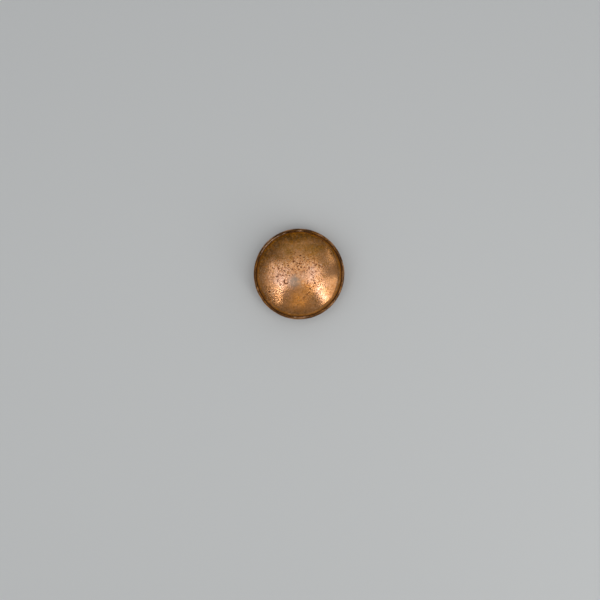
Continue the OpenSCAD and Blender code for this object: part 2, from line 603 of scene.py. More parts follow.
def mark_lid_edge(lid, true, skin, rubbed):
    """The masks of the wear, the painted shade and the painted highlights on the lid's wall, its rolled edge
    and its inside.
    """
    r, z = off_axis(true), true[:, 2]
    bead = on_bead(true, lid_edge_z)
    # Painted shade: the foot of the shoulder, the wall and the top of the roll by the wall are darkened. The
    # whole roll is darkened too, partly as dirt and partly as painted shade.
    wall = smooth(z, shoulder_z + 2.4 * MM, shoulder_z) * smooth(r, wall_out - 1.2 * MM, wall_out)
    wall *= skin | (r > wall_out - 0.2 * MM)
    seam = smooth(r, wall_out + 0.4 * MM, wall_out + 0.1 * MM) * (z > lid_edge_z)
    dirt_and_shade_on_bead = np.maximum(seam, bead * (0.72 + 0.2 * uneven(true, 2.5 * MM, 45)))
    crest = bead * smooth(r, edge_r + 0.4 * bead_r, edge_r + 0.8 * bead_r)
    crest *= 0.7 * smooth(uneven(true, 3.5 * MM, 43), 0.1, 1.3)
    slide = (r < wall_in + 0.05 * MM) & (z < shoulder_z)

    # Painted highlights: thin light lines on the lid's roll, by the wall and on its outer side, in the
    # stretches given above.
    ragged_r = r + 0.08 * MM * uneven(true, 1.1 * MM, 47)
    highlight_by_wall = smooth(ragged_r, edge_r + 0.2 * MM, edge_r - 0.05 * MM) * stretches(true, HIGHLIGHT_INNER)
    highlight_outer_side = smooth(np.abs(ragged_r - edge_r - 0.42 * MM), 0.2 * MM, 0.05 * MM)
    highlight_outer_side *= stretches(true, HIGHLIGHT_OUTER)
    write_masks(
        lid,
        upright=(np.abs(facing(lid)[:, 2]) < 0.6) | bead,
        grime=np.where(r > wall_out + 0.01 * MM, dirt_and_shade_on_bead, wall),
        scuffed=bead * np.maximum(0.8 * highlight_by_wall, 0.55 * highlight_outer_side),
        worn=np.maximum(np.maximum(rubbed * 0.5, crest), slide * 0.9),
        lining_side=~skin & (z > lid_edge_z + 0.1 * MM) & (r < wall_in + 0.1 * MM),
    )


def build_lid():
    """The domed lid with its dents, pits, knocks and the masks of its wear and its painted light and shade.
    """
    lid = spin("lid_spun_shell", lid_outline())
    true = places(lid)
    skin = lid_skin(true)
    points, rubbed = knock_bead(dent_lid(true), lid_edge_z, 11)
    depth, pitted = pit_field(true, scatter_pits(7))
    struck = struck_ring(true)
    move(lid, points)
    points -= facing(lid) * ((depth + RING_MARK_DEPTH * struck) * skin)[:, None]
    move(lid, points)
    mark_crown(lid, true, skin, np.maximum(pitted, smooth(struck, 0.25, 0.6)))
    mark_lid_edge(lid, true, skin, rubbed)
    return lid


def mark_dish(dish, true, below, rubbed, hollow_foot):
    """The masks of the wear and the painted shade on the dish. Its clouds and its pits follow no pattern."""
    r, z = off_axis(true), true[:, 2]
    bead = on_bead(true, dish_edge_z)
    outside = below & (r < wall_out)
    foot = below & (z < 0.25 * MM)
    standing = smooth(r, FOOT_R * 0.72, FOOT_R * 0.95) * smooth(z, 0.12 * MM, 0)
    crest = bead * smooth(r, edge_r + 0.2 * bead_r, capsule_r) * smooth(uneven(true, 3 * MM, 25), -0.5, 0.9)
    # Painted shade: the roll by the wall, the inside under the felt ring and the middle of the hollowed foot
    # are darkened. The whole roll is darkened too, partly as dirt and partly as painted shade.
    seam = smooth(r, wall_out + 0.5 * MM, wall_out + 0.1 * MM) * (r > wall_out) * bead
    dirt_and_shade_on_bead = bead * (0.4 + 0.2 * uneven(true, 2.5 * MM, 46))
    under_felt = smooth(r, 12.6 * MM, 13.6 * MM) * (r < wall_in + 0.02 * MM) * (z < dish_h) * ~below
    write_masks(
        dish,
        corroded=smooth(uneven(true, 6 * MM, 26), 0.2, 1.4) * outside,
        pit=smooth(uneven(true, 0.35 * MM, 24), 1.55, 2.1) * outside,
        worn=np.maximum(np.maximum(rubbed, crest), foot * standing),
        grime=np.maximum.reduce([seam, dirt_and_shade_on_bead, under_felt, foot * hollow_foot * 0.5]),
        scuffed=0.6 * rubbed,
        pink=smooth(uneven(true, 5 * MM, 27), 0.3, 1.5) * below,
        amber=smooth(uneven(true, 5 * MM, 28), 0.2, 1.5) * below,
        upright=(np.abs(facing(dish)[:, 2]) < 0.6) | bead,
        brushed=smooth(uneven(true, 7 * MM, 29), 0, 1.5) * below,
        handled=smooth(uneven(true, 6 * MM, 30), 0.2, 1.5) * below,
        lining_side=~below & (r < wall_in + 0.02 * MM),
        stain=np.zeros(len(true)),
    )


def build_dish():
    """The shallow dish with its rubbed foot, knocks and the masks of its wear and its painted shade."""
    dish = spin("dish_spun_shell", dish_outline())
    true = places(dish)
    r = off_axis(true)
    below = facing(dish)[:, 2] < -0.05
    bend = smooth(r, FOOT_R * 0.2, FOOT_R) * smooth(r, wall_out, wall_out - 3 * MM)
    hollow_foot = smooth(r, FOOT_R * 0.75, FOOT_R * 0.2)
    points, rubbed = knock_bead(true, dish_edge_z, 19)
    points[:, 2] += 0.03 * MM * (0.6 + uneven(true, 5 * MM, 23)).clip(0, None) * bend
    points[:, 2] += 0.08 * MM * hollow_foot
    move(dish, points)
    mark_dish(dish, true, below, rubbed, hollow_foot)
    return dish


# ------------------------ the collar and its solder

BEVEL = 0.15 * MM
CORNER_R = 0.03 * MM


def collar_section():
    """Section of the collar, with its corners eased and its two long sides cut into five."""
    outside, inside = collar_high.x, collar_high.x - COLLAR_T
    bottom, top = collar_low.z, collar_high.z
    outer = ((inside, bottom), (outside, bottom), (outside, top - 2 * BEVEL))
    corners = np.array([*outer, (outside - BEVEL, top), (inside + BEVEL, top), (inside, top - BEVEL)])
    section = []
    for before, corner, after in zip(np.roll(corners, 1, 0), corners, np.roll(corners, -1, 0), strict=True):
        start = corner + (before - corner) * CORNER_R / np.linalg.norm(before - corner)
        end = corner + (after - corner) * CORNER_R / np.linalg.norm(after - corner)
        for t in (0, 0.5, 1):
            section.append(start * (1 - t) ** 2 + 2 * corner * t * (1 - t) + end * t**2)
        if abs(after[1] - corner[1]) > 2 * BEVEL + CORNER_R:
            section.extend(end + (after - end) * np.linspace(0, 1, 6)[1:-1, None])
    return section


def build_collar():
    """Brass band that the lid slides over, with a worn bevel on its top edge."""
    outside, top = collar_high.x, collar_high.z
    collar = carry_round("brass_collar", collar_section(), 384)
    points = places(collar)
    angle = bearing(points)
    draw = np.random.default_rng(61)
    for _ in range(12):
        at, width = draw.uniform(-math.pi, math.pi), draw.uniform(0.3, 0.9) * MM
        dip = draw.uniform(0.01, 0.04) * MM * hump(apart(angle, at) * outside, width)
        points[:, 2] -= dip * smooth(points[:, 2], top - BEVEL, top)
    move(collar, points)
    write_masks(
        collar,
        worn=smooth(points[:, 2], top - 3 * BEVEL, top - BEVEL / 2),
        solder_seam=smooth(np.abs(angle - 2.2) * outside, 0.35 * MM, 0.12 * MM),
    )
    return collar


def build_solder():
    """Thin uneven fillet of solder where the collar stands out of the dish's roll."""
    outside = collar_high.x
    inner = outside - 0.03 * MM
    height, width = 0.42 * MM, 0.16 * MM
    foot = dish_edge_z + 0.02 * MM
    curve_z = foot + 0.12 * MM
    section = [(inner, foot), (outside + 0.07 * MM, foot)]
    for t in np.linspace(0, math.pi / 2, 6):
        section.append((outside + width * (1 - math.sin(t)) ** 1.5, curve_z + height * (1 - math.cos(t))))
    section.append((inner, curve_z + height))
    solder = carry_round("solder_line", section, 420)
    points = places(solder)
    flow = uneven(points, 1.4 * MM, 71) * 0.5 + uneven(points, 0.5 * MM, 72) * 0.3
    bulge = 1 + 0.4 * flow
    r = off_axis(points)
    points[:, 2] = foot + (points[:, 2] - foot) * bulge.clip(0.4, 1.4)
    new_r = outside + (r - outside) * bulge.clip(0.5, 1.15)
    points[:, :2] *= (new_r / r)[:, None]
    move(solder, points)
    return solder


# ------------------------ padded discs and felt

SIM_SCALE = 20  # the cloth is simulated this many times larger, where Blender's settings work well
SIM_FRAMES = 20
GLUED_H = 0.3 * MM  # how far up from its back a cover is glued
FARTHEST = 0.14 * MM  # that a point may move as the cover swells
PAD_START = 0.1 * MM  # the pad is cut this much smaller, because it swells
PAD_RING = 144  # points round each ring of a pad
SNUG = 0.22 * MM  # how far the dish's pad fills the room round it


def skin_outline(radius, back, rise, step):
    """Outer face of a covered disc from the middle of its front to the inner edge of its tuck, facing up."""
    front = back + VELVET_T + (dish_board_high.z - dish_board_low.z)
    t = np.linspace(math.pi / 2, 0, math.ceil(1.25 * radius / step))
    crown = np.column_stack([radius * np.cos(t) ** 0.5, front + rise * np.sin(t)])
    side = line((radius, front), (radius, back + 0.15 * MM), step)[1:, :2]
    tuck = line((radius - 0.15 * MM, back), (radius - TUCK_W, back), step)[:, :2]
    return np.concatenate([crown, side, tuck])


def build_cover(name, radius, back, rise, way, seed):
    """Velvet drawn over wadding and board: a skin that swells under pressure and is glued behind."""
    outline = skin_outline(radius - PAD_START, 0.0, rise, 0.35 * MM)
    cover = make_piece(name, *stack_rings(outline, [PAD_RING] * (len(outline) - 1)))
    start = places(cover)
    pleats(cover, start, radius, seed)
    swell(cover, start)
    thicken(cover, VELVET_T)
    points = places(cover)
    points[:, 2] = back + way * points[:, 2]
    if way < 0:
        cover.data.flip_normals()
    move(cover, points)
    return cover


def pleats(cover, start, radius, seed):
    """Small gathers where the velvet turns over the edge of its disc, deepest behind it."""
    draw = np.random.default_rng(seed)
    points = start.copy()
    angle, r = bearing(points), off_axis(points)
    fold = np.zeros(len(points))
    for turns in (17, 23, 31, 44):
        fold += np.cos(angle * turns + draw.uniform(0, 2 * math.pi)) * draw.uniform(0.5, 1)
    low = smooth(points[:, 2], 1.6 * MM, 0.1 * MM)
    near_edge = smooth(r, radius - 3.2 * MM, radius - 0.5 * MM)
    pull = 0.045 * MM * fold * np.maximum(low, 0.45 * near_edge)
    new_r = r - np.abs(pull)
    points[:, :2] *= (new_r / np.maximum(r, 1e-9))[:, None]
    points[:, 2] -= 0.05 * MM * np.abs(fold) * near_edge * smooth(points[:, 2], 0.5 * MM, 1.2 * MM)
    points[:, 2] += 0.035 * MM * uneven(points, 3.2 * MM, seed + 1) * smooth(points[:, 2], 1.2 * MM, 2 * MM)
    move(cover, points)


def swell(cover, start):
    """Blows the cover up with Blender's cloth, held where it is glued. No point goes far from its place."""
    before = places(cover)
    move(cover, before * SIM_SCALE)
    glued = cover.vertex_groups.new(name="glued")
    glued.add([i for i, p in enumerate(start) if p[2] < GLUED_H], 1, "REPLACE")
    cloth = cover.modifiers.new("cloth", "CLOTH")
    settings = cloth.settings
    settings.quality = 6
    settings.mass = 0.3
    settings.tension_stiffness = 12
    settings.compression_stiffness = 6
    settings.bending_stiffness = 0.3
    settings.shrink_min = -0.012
    settings.use_pressure = True
    settings.uniform_pressure_force = 3
    settings.vertex_group_mass = "glued"
    settings.effector_weights.gravity = 0
    cloth.point_cache.frame_start = 1
    cloth.point_cache.frame_end = SIM_FRAMES
    scene = bpy.context.scene
    for f in range(1, SIM_FRAMES + 1):
        scene.frame_set(f)
    seen = cover.evaluated_get(bpy.context.evaluated_depsgraph_get())
    blown = np.array([v.co for v in seen.data.vertices], float) / SIM_SCALE
    cover.modifiers.remove(cloth)
    cover.vertex_groups.remove(glued)
    scene.frame_set(1)
    swollen = blown - before
    far = np.linalg.norm(swollen, axis=1)
    swollen *= np.minimum(1, FARTHEST / np.maximum(far, 1e-9))[:, None]
    move(cover, before + swollen)


def thicken(piece, thickness):
    """Gives a skin its thickness, inwards, and makes that part of its mesh."""
    solid = piece.modifiers.new("thickness", "SOLIDIFY")
    solid.thickness = thickness
    solid.offset = -1
    seen = piece.evaluated_get(bpy.context.evaluated_depsgraph_get())
    thick = bpy.data.meshes.new_from_object(seen)
    piece.modifiers.remove(solid)
    old = piece.data
    piece.data = thick
    bpy.data.meshes.remove(old)
    piece.data.name = piece.name
    piece.data.shade_smooth()


def build_wadding(name, radius, board_face, way, rise, seed):
    """Loose cotton between a board and its velvet: low, lumpy, thin at its edge."""
    inset = 0.12 * MM
    t = np.linspace(math.pi / 2, 0, 44)
    top = np.column_stack([(radius - inset) * np.cos(t) ** 0.5, 0.04 * MM + (rise - inset) * np.sin(t)])
    under = line((radius - inset, 0.02 * MM), (0, 0.02 * MM), 0.4 * MM)
    top = np.column_stack([top, np.full(len(top), 0.3 * MM)])
    wadding = spin(name, joined(top, under))
    points = places(wadding)
    loft = uneven(points, 1.6 * MM, seed) + 0.6 * uneven(points, 0.6 * MM, seed + 1)
    points[:, 2] -= 0.06 * MM * (loft + 1.2).clip(0, None) * smooth(points[:, 2], 0.1 * MM, 0.5 * MM)
    torn = (1 + uneven(points, 1.1 * MM, seed + 2)).clip(0, None)
    points[:, :2] *= (1 - 0.02 * smooth(off_axis(points), radius * 0.8, radius) * torn)[:, None]
    points[:, 2] = board_face + way * points[:, 2]
    if way < 0:
        wadding.data.flip_normals()
    move(wadding, points)
    return wadding


def build_felt():
    """Strip of felt bent into a ring against the collar, with a butt joint and a soft top edge."""
    outside = felt_high.x
    inside = outside - FELT_T
    soft = FELT_T / 2
    ease = 0.05 * MM
    low, high = felt_low.z, felt_high.z - soft
    heights = np.linspace(low + ease, high, 16)
    turns = np.linspace(0, math.pi, 10)[1:-1]
    outer_face = [(outside, z) for z in heights]
    top = [(inside + soft + soft * math.cos(t), high + soft * math.sin(t)) for t in turns]
    inner_face = [(inside, z) for z in heights[::-1]]
    under = [(r, low) for r in np.linspace(inside + ease, outside - ease, 5)]
    section = outer_face + top + inner_face + under
    felt = carry_round("felt_ring", section, 440, gap=0.012, joint_at=-1.1)
    points = places(felt)
    rough = 0.5 * uneven(points, 0.9 * MM, 81) + 0.5 * uneven(points, 0.35 * MM, 82)
    points -= facing(felt) * (0.03 * MM * (rough + 0.2))[:, None]
    points[:, 2] -= 0.05 * MM * (1 + uneven(points, 6 * MM, 83)) * smooth(points[:, 2], low, high)
    move(felt, points)
    return felt


# ------------------------ node helpers


class Wire:
    """An output in a node tree, which can be added, taken away, multiplied and divided like a number."""

    def __init__(self, tree, socket):
        self.tree = tree
        self.socket = socket

    def other(self, name):
        """Another output of the same node."""
        return Wire(self.tree, self.socket.node.outputs[name])

    def clamped(self):
        """The same sum, kept from 0 to 1."""
        self.socket.node.use_clamp = True
        return self

    def __add__(self, value):
        return calc("ADD", self, value)

    def __sub__(self, value):
        return calc("SUBTRACT", self, value)

    def __rsub__(self, value):
        return calc("SUBTRACT", value, self, tree=self.tree)

    def __mul__(self, value):
        return calc("MULTIPLY", self, value)

    def __truediv__(self, value):
        return calc("DIVIDE", self, value)


def put(tree, kind, inputs=None, out=0, **settings):
    """Adds a node, fills or links its inputs and returns one of its outputs."""
    node = tree.nodes.new(kind)
    for key, value in settings.items():
        setattr(node, key, value)
    for key, value in (inputs or {}).items():
        if isinstance(value, Wire):
            tree.links.new(value.socket, node.inputs[key])
        else:
            node.inputs[key].default_value = value
    return Wire(tree, node.outputs[out])


def calc(operation, a, b=0.0, tree=None):
    """One sum on two values. The tree is needed only where a isn't a wire."""
    return put(tree or a.tree, "ShaderNodeMath", {0: a, 1: b}, operation=operation)


def most(*wires):
    """The largest of several values."""
    largest = wires[0]
    for wire in wires[1:]:
        largest = calc("MAXIMUM", largest, wire)
    return largest


def vector_sum(operation, a, b):
    """One sum on two vectors."""
    return put(a.tree, "ShaderNodeVectorMath", {0: a, 1: b}, operation=operation)


def scaled(vector, factor):
    """A vector made longer or shorter."""
    return put(vector.tree, "ShaderNodeVectorMath", {0: vector, 3: factor}, operation="SCALE")


def length(vector):
    """How long a vector is."""
    return put(vector.tree, "ShaderNodeVectorMath", {0: vector}, out="Value", operation="LENGTH")


def split(vector):
    """X of a vector, whose node's other outputs are Y and Z."""
    return put(vector.tree, "ShaderNodeSeparateXYZ", {0: vector})


def noise(vector, scale, detail, **more):
    """Smooth noise from 0 to 1."""
    inputs = {"Vector": vector, "Scale": scale, "Detail": detail, **more}
    return put(vector.tree, "ShaderNodeTexNoise", inputs)


def step_up(value, low, high, shape="SMOOTHSTEP"):
    """0 below low, 1 above high and smooth between them."""
    inputs = {"Value": value, "From Min": low, "From Max": high}
    return put(value.tree, "ShaderNodeMapRange", inputs, interpolation_type=shape)


def tint(mask, a, b):
    """Colour a where the mask is 0 and colour b where it is 1."""
    colours = {6: a, 7: b}
    for key, value in colours.items():
        if not isinstance(value, Wire):
            colours[key] = (*value, 1)
    return put(mask.tree, "ShaderNodeMix", {0: mask, **colours}, out=2, data_type="RGBA")


def coats(colour, *layers):
    """Colours laid one over another. Each layer is a mask and its colour."""
    for mask, over in layers:
        colour = tint(mask, colour, over)
    return colour


# ------------------------ effects that materials share


def new_group(name, *vectors, **numbers):
    """Empty shader group with its named inputs. Returns it with those inputs as wires."""
    group = bpy.data.node_groups.new(name, "ShaderNodeTree")
    for socket in ("Vector", *vectors):
        group.interface.new_socket(socket, in_out="INPUT", socket_type="NodeSocketVector")
    for socket, value in {"Scale": 1, **numbers}.items():
        made = group.interface.new_socket(socket, in_out="INPUT", socket_type="NodeSocketFloat")
        made.default_value = value
    inner = group.nodes.new("NodeGroupInput")
    return group, {socket.name: Wire(group, socket) for socket in inner.outputs if socket.name}


def give_out(group, output, value):
    """Ends a group with its one output."""
    group.interface.new_socket(output, in_out="OUTPUT", socket_type="NodeSocketFloat")
    result = group.nodes.new("NodeGroupOutput")
    group.links.new(value.socket, result.inputs[output])
    return group


def cloud_group():
    """Soft-edged clouds, as tarnish, breath and handling leave them."""
    group, given = new_group("clouds", Low=0.4, High=0.6, Break=0.6)
    lumps = noise(given["Vector"], given["Scale"], 7.0, Roughness=given["Break"], Distortion=0.4)
    return give_out(group, "Mask", step_up(lumps, given["Low"], given["High"]))


def outward_group():
    """Grows with the distance from an upright line through Middle, with a wandering edge."""
    group, given = new_group("outward", "Middle", Inner=0.01, Outer=0.02, Wander=0.001)
    moved = vector_sum("SUBTRACT", given["Vector"], given["Middle"])
    radius = length(vector_sum("MULTIPLY", moved, (1, 1, 0)))
    wander = (noise(given["Vector"], given["Scale"], 5.0) - 0.5) * given["Wander"]
    return give_out(group, "Mask", step_up(radius + wander, given["Inner"], given["Outer"]))


def scratch_group():
    """Short straight scratches, one to a cell, each with its own direction. Some cells stay clean."""
    group, given = new_group("scratches", Width=0.02, Length=0.4, Share=0.5)
    vector = scaled(given["Vector"], given["Scale"])
    cell = put(group, "ShaderNodeTexVoronoi", {"Vector": vector, "Scale": 1.0, "Randomness": 1.0},
               out="Position", voronoi_dimensions="2D")
    chance = put(group, "ShaderNodeSeparateColor", {0: cell.other("Color")})
    local = vector_sum("SUBTRACT", vector, cell)
    turned = put(group, "ShaderNodeVectorRotate", {"Vector": local, "Angle": chance * math.pi},
                 rotation_type="Z_AXIS")
    along = split(turned)
    thin = step_up(calc("ABSOLUTE", along.other("Y")), given["Width"], 0.0, shape="LINEAR")
    short = step_up(calc("ABSOLUTE", along), given["Length"], 0.0, shape="LINEAR")
    there = calc("LESS_THAN", chance.other("Green"), given["Share"])
    return give_out(group, "Mask", thin * short * there)


def speck_group():
    """Small ragged specks of uneven size, scattered with bare ground between them."""
    group, given = new_group("specks", Size=0.2, Share=0.3, Ragged=0.3)
    vector = scaled(given["Vector"], given["Scale"])
    shift = vector_sum("SUBTRACT", noise(vector, 2.0, 2.0).other("Color"), (0.5, 0.5, 0.5))
    vector = vector_sum("ADD", vector, scaled(shift, given["Ragged"]))
    cell = put(group, "ShaderNodeTexVoronoi", {"Vector": vector, "Scale": 1.0}, out="Distance")
    chance = put(group, "ShaderNodeSeparateColor", {0: cell.other("Color")})
    size = given["Size"] * chance
    there = calc("LESS_THAN", chance.other("Green"), given["Share"])
    return give_out(group, "Mask", step_up(cell, size, size * 0.4) * there)


def spun_group():
    """Fine rings round the axis, as the spinner's tool and later polishing leave."""
    group, given = new_group("spun_rings")
    radius = length(vector_sum("MULTIPLY", given["Vector"], (1, 1, 0.4)))
    inputs = {"W": radius, "Scale": given["Scale"], "Detail": 4.0, "Roughness": 0.7}
    return give_out(group, "Height", put(group, "ShaderNodeTexNoise", inputs, noise_dimensions="1D"))


def fibre_group():
    """Fine hairs that cross each other in three directions."""
    group, given = new_group("fibres", Stretch=8)
    hairs = []
    for turn in ((0.3, 0.5, 0.2), (1.4, 0.2, 1.9), (0.6, 1.6, 2.9)):
        turned = put(group, "ShaderNodeVectorRotate", {"Vector": given["Vector"], "Rotation": turn},
                     rotation_type="EULER_XYZ")
        x = split(turned)
        parts = {0: x / given["Stretch"], 1: x.other("Y"), 2: x.other("Z")}
        drawn = put(group, "ShaderNodeCombineXYZ", parts)
        hairs.append(step_up(noise(drawn, given["Scale"], 3.0, Distortion=0.8), 0.5, 0.68))
    return give_out(group, "Mask", most(*hairs))


CLOUDS = cloud_group()
OUTWARD = outward_group()
SCRATCHES = scratch_group()
SPECKS = speck_group()
SPUN = spun_group()
FIBRES = fibre_group()


# ------------------------ materials


def per(size):
    """Texture scale that gives marks of that size, in mm."""
    return 1 / (size * MM)


class Finish:
    """A material in the making: its node tree, its Principled shader and the piece's own coordinates."""

    def __init__(self, name):
        self.material = bpy.data.materials.new(name)
        self.material.use_nodes = True
        self.tree = self.material.node_tree
        self.shader = self.tree.nodes["Principled BSDF"]
        self.where = put(self.tree, "ShaderNodeTexCoord", out="Object")

    def mask(self, name):
        """A mask that was stored on the piece's points."""
        return put(self.tree, "ShaderNodeAttribute", out="Fac", attribute_name=name)

    def effect(self, group, size, where=None, **values):
        """Places an effect that materials share, with marks about size mm across."""
        inputs = {"Vector": where or self.where, "Scale": per(size), **values}
        return put(self.tree, "ShaderNodeGroup", inputs, node_tree=group)

    def clouds(self, size, low, high, broken):
        """Clouds about size mm across. The closer low is to high, the harder their edges."""
        return self.effect(CLOUDS, size, Low=low, High=high, Break=broken)

    def fix(self, **values):
        """Sets what is the same all over. Spaces in socket names are written as _."""
        for key, value in values.items():
            self.shader.inputs[key.replace("_", " ")].default_value = value

    def done(self, colour, roughness, height, depth, **more):
        """Links what varies and gives the material. depth is the height's real size in metres."""
        bump = {"Height": height, "Strength": 1.0, "Distance": depth}
        normal = put(self.tree, "ShaderNodeBump", bump)
        linked = {"Base_Color": colour, "Roughness": roughness, "Normal": normal, **more}
        for key, wire in linked.items():
            self.tree.links.new(wire.socket, self.shader.inputs[key.replace("_", " ")])
        return self.material


# Colours of copper from bare to blackened.
BARE = (0.91, 0.45, 0.20)
RED_BROWN = (0.62, 0.25, 0.075)
OLIVE_BROWN = (0.38, 0.185, 0.026)
DARK_BROWN = (0.17, 0.065, 0.007)
BLACKENED = (0.035, 0.014, 0.006)
PIT_BROWN = (0.18, 0.045, 0.012)
# Bare, pinker copper, also a painted highlight tint on the lid's crown.
PINK = (0.96, 0.59, 0.44)
# Colour of painted glints.
PAINTED_GLINT = (0.99, 0.77, 0.54)
# Colour of scuffs on the dish and of painted highlight lines on the lid's roll.
SCUFF_AND_HIGHLIGHT = (0.96, 0.62, 0.38)
# Orange-brown: a painted warm reflection on the lid's lower crown, and an orange film and tarnish elsewhere.
AMBER = (0.92, 0.35, 0.045)
GREY_SPOT = (0.30, 0.235, 0.18)
INSIDE = (0.86, 0.44, 0.22)
COPPER_AT_A_SLANT = (0.92, 0.5, 0.18, 1)

COPPER_MASKS = ("stain", "pit", "pink", "amber", "upright", "brushed", "handled", "corroded", "grime",
                "scuffed", "worn", "lining_side")


def round_wall(where):
    """The capsule's wall and rolls unrolled: the way round them as X, and the way up and inwards as Y."""
    x = split(where)
    angle = calc("ARCTAN2", x.other("Y"), x)
    radius = length(vector_sum("MULTIPLY", where, (1, 1, 0)))
    parts = {0: angle * edge_r, 1: x.other("Z") - radius}
    return put(where.tree, "ShaderNodeCombineXYZ", parts)


def copper_textures(made, middle, tarnish, olive_and_shade_side):
    """All that varies over a copper shell: the masks on its points and its textures."""
    on = SimpleNamespace(**{name: made.mask(name) for name in COPPER_MASKS})
    on.clouds = made.clouds(7, 0.42, 0.62, 0.6)
    on.mottle = made.clouds(1.5, 0.46, 0.62, 0.75)
    on.fine = made.clouds(0.5, 0.42, 0.62, 0.8)
    on.grain = made.clouds(0.22, 0.4, 0.65, 0.8)
    # Painted glints: small bright specks.
    on.sparks = made.clouds(0.45, 0.56, 0.66, 0.6)
    on.scuffed = step_up(on.scuffed - made.clouds(0.8, 0.35, 0.6, 0.75) * 0.45, 0.1, 0.8)
    on.corroded = on.corroded * 0.85 + 0.15

    # Darker towards the edge: tarnish, and painted shade on the shoulder. Olive towards +Y: tarnish, and
    # painted shade on that side.
    edge = made.effect(OUTWARD, 4, Middle=middle, Inner=tarnish[0], Outer=tarnish[1], Wander=4 * MM)
    on.edge = edge * (1 - on.handled * 0.6)
    on.olive = (on.clouds * 0.6 + 0.25) * step_up(split(made.where).other("Y"), *olive_and_shade_side)

    on.flecks = made.effect(SPECKS, 1.3, Size=0.75, Share=0.6, Ragged=1.0)
    specks = made.effect(SPECKS, 0.75, Size=0.7, Share=0.7, Ragged=0.7)
    crumbs = made.effect(SPECKS, 0.4, Size=0.85, Share=0.55, Ragged=0.8)
    on.specks = most(specks, crumbs) * on.corroded

    flat = vector_sum("MULTIPLY", made.where, (1, 1, 0))
    laid_out = tint(on.upright, flat, round_wall(made.where))
    long_marks = made.effect(SCRATCHES, 4, laid_out, Width=0.014, Length=0.6, Share=0.7)
    short_marks = made.effect(SCRATCHES, 1.2, laid_out, Width=0.035, Length=0.5, Share=0.5)
    on.marks = most(long_marks, short_marks)
    on.rings = made.effect(SPUN, 0.22)
    return on


def copper_colour(on):
    """Bare metal under its tarnish, its marks, its dirt and its rubbed places, and under painted shade,
    glints, highlights and a warm reflection.
    """
    # Both the dark edge and the olive side are partly tarnish and partly painted shade.
    tarnished = most(on.edge, on.olive)
    return coats(
        BARE,
        (on.clouds * 0.45, RED_BROWN),
        # On the lid's lower crown a painted warm reflection; on the dish an orange film.
        (on.amber * 0.75, AMBER),
        # Bare, pinker metal; on the lid's crown also a painted highlight tint.
        (on.pink * 0.85, PINK),
        (on.mottle * 0.5, RED_BROWN),
        (on.flecks * 0.5, OLIVE_BROWN),
        (on.fine * 0.5, DARK_BROWN),
        (on.grain * 0.4, RED_BROWN),
        # Olive towards +Y and dark brown towards the edge: tarnish, and painted shade.
        (on.olive, OLIVE_BROWN),
        (on.edge * 0.9, DARK_BROWN),
        (tarnished * (on.mottle * 0.5), AMBER),
        (tarnished * (on.fine * 0.6), BLACKENED),
        # Painted glints, most in the pitted patches.
        (on.sparks * (on.corroded * 0.65 + 0.1), PAINTED_GLINT),
        (step_up(on.rings, 0.52, 0.62) * (on.brushed * 0.35 + 0.1), DARK_BROWN),
        (on.specks * 0.95, PIT_BROWN),
        (on.lining_side * 0.8, INSIDE),
        # Painted shade, partly dirt: the darkened wall and groove, the rolled edges, the inside under the
        # felt and the middle of the foot.
        (on.grime * 0.85, BLACKENED),
        (on.worn * 0.75, BARE),
        # Scuffs on the dish, and painted highlight lines on the lid's roll.
        (on.scuffed * 0.85, SCUFF_AND_HIGHLIGHT),
        (on.marks * 0.3, BARE),
        (on.stain * (on.mottle * 0.3 + 0.55), GREY_SPOT),
        (on.pit * 0.9, tint(on.fine * 0.75, PIT_BROWN, BLACKENED)),
    )


def aged_copper(name, middle, tarnish, olive_and_shade_side, seed):
    """Old copper. It darkens between the two radii of tarnish, partly as tarnish and partly as painted shade,
    and turns olive along +Y, partly as tarnish and partly as painted shade on that side.
    """
    made = Finish(name)
    made.where = vector_sum("ADD", made.where, (0, 0, seed))
    on = copper_textures(made, middle, tarnish, olive_and_shade_side)

    dull = most(on.edge * 0.6, on.olive * 0.5, on.pit, on.grime, on.specks * 0.4)
    rough = dull * 0.24 + 0.09 + on.fine * 0.09 + on.clouds * 0.05
    rough = (rough - on.worn * 0.08).clamped() + on.scuffed * 0.35
    metal = (1 - most(on.pit, on.grime) * 0.3).clamped()
    coat = (on.pink - most(on.pit, on.specks, on.corroded * 0.8)).clamped()

    height = on.rings * (on.brushed + 0.6) + on.mottle * 2.2 * on.corroded
    height = height + on.fine * (on.corroded + 0.25) + on.grain * 0.45 - on.marks - on.specks * 3.0
    made.fix(Specular_Tint=COPPER_AT_A_SLANT, Coat_Roughness=0.12)
    return made.done(copper_colour(on), rough, height, 0.006 * MM, Metallic=metal, Coat_Weight=coat * 0.8)


def drawn_wire():
    """Dull copper wire, tarnished in patches."""
    made = Finish("drawn_wire")
    fine = made.clouds(0.2, 0.3, 0.7, 0.7)
    colour = tint(made.clouds(2, 0.35, 0.7, 0.6), (0.5, 0.3, 0.16), DARK_BROWN)
    made.fix(Metallic=1)
    return made.done(colour, fine * 0.2 + 0.35, fine, 0.004 * MM)


